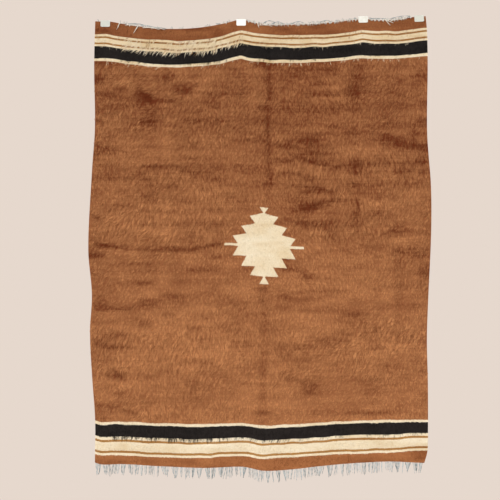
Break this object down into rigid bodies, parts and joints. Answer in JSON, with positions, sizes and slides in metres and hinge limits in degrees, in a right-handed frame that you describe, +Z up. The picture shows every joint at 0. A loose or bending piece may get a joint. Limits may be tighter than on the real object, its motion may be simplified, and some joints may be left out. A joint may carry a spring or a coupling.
{
  "type": "kilim rug with hanging clips",
  "caption": "Flat-woven goat-hair rug with a brushed nap, striped ends, a stepped diamond and a warp fringe, hung by its top edge from plain folded clips.",
  "frame": {"origin": "middle of the rug's top edge, in the plane in which the clips grip it", "axes": "+X to the right along the weft as seen from the front, +Y from the front of the rug to its back, +Z up along the warp"},
  "size_m": [1.4832, 0.0298, 2.0287],
  "materials": {
    "brushed_hair": "weft-faced goat-hair weave brushed up to a soft streaky nap, brown with cream and black stripes",
    "warp_yarn": "loosely spun pale grey-white warp yarn, cut and fraying",
    "clip_plastic": "moulded white plastic with a slight sheen"
  },
  "bodies": {
    "root": {"rug_cloth": "brushed_hair", "fringe_bottom": "warp_yarn", "fringe_top": "warp_yarn", "clip_1": "clip_plastic", "clip_2": "clip_plastic", "clip_3": "clip_plastic", "clip_4": "clip_plastic"}
  },
  "joints": []
}
